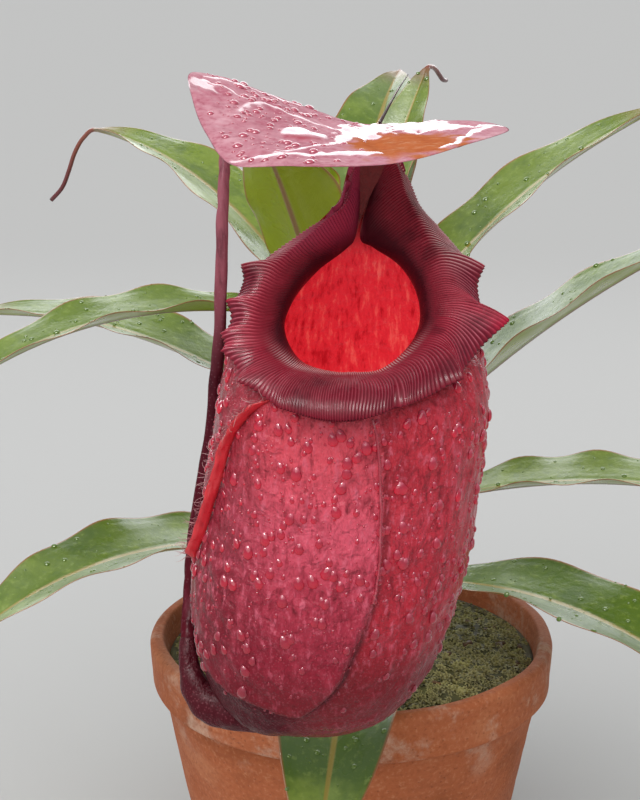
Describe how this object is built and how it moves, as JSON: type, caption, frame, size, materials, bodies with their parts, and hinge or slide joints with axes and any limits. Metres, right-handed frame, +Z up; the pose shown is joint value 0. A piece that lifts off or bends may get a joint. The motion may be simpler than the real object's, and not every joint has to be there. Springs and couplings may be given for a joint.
{
  "type": "potted pitcher plant",
  "caption": "Tropical pitcher plant in a plain clay pot, with strap leaves and a red ribbed pitcher under its lid, hanging on a tendril in front.",
  "frame": {"origin": "centre of the pot's flat underside", "axes": "+Z up, the way the plant grows; -Y towards the pitcher that hangs in front; +X to the viewer's right"},
  "size_m": [0.4139, 0.4367, 0.4266],
  "materials": {
    "pot": "matte",
    "growing_medium": "matte",
    "stem": "matte",
    "leaf": "satin",
    "tendril": "satin",
    "pitcher_body": "satin",
    "pitcher_collar": "gloss",
    "pitcher_lid": "gloss",
    "pitcher_spur": "matte",
    "pitcher_wing": "satin"
  },
  "bodies": {
    "root": {"pot": "pot", "growing_medium": "growing_medium", "stem": "stem", "leaf_01": "leaf", "leaf_02": "leaf", "leaf_03": "leaf", "leaf_04": "leaf", "leaf_05": "leaf", "leaf_06": "leaf", "leaf_07": "leaf", "leaf_08": "leaf", "leaf_09": "leaf", "leaf_10": "leaf", "leaf_11": "leaf", "leaf_12": "leaf", "leaf_13": "leaf", "leaf_14": "leaf", "leaf_bearer": "leaf", "tendril": "tendril", "pitcher_body": "pitcher_body", "pitcher_collar": "pitcher_collar", "pitcher_lid": "pitcher_lid", "pitcher_spur": "pitcher_spur", "wing_left": "pitcher_wing", "wing_right": "pitcher_wing"}
  },
  "joints": []
}
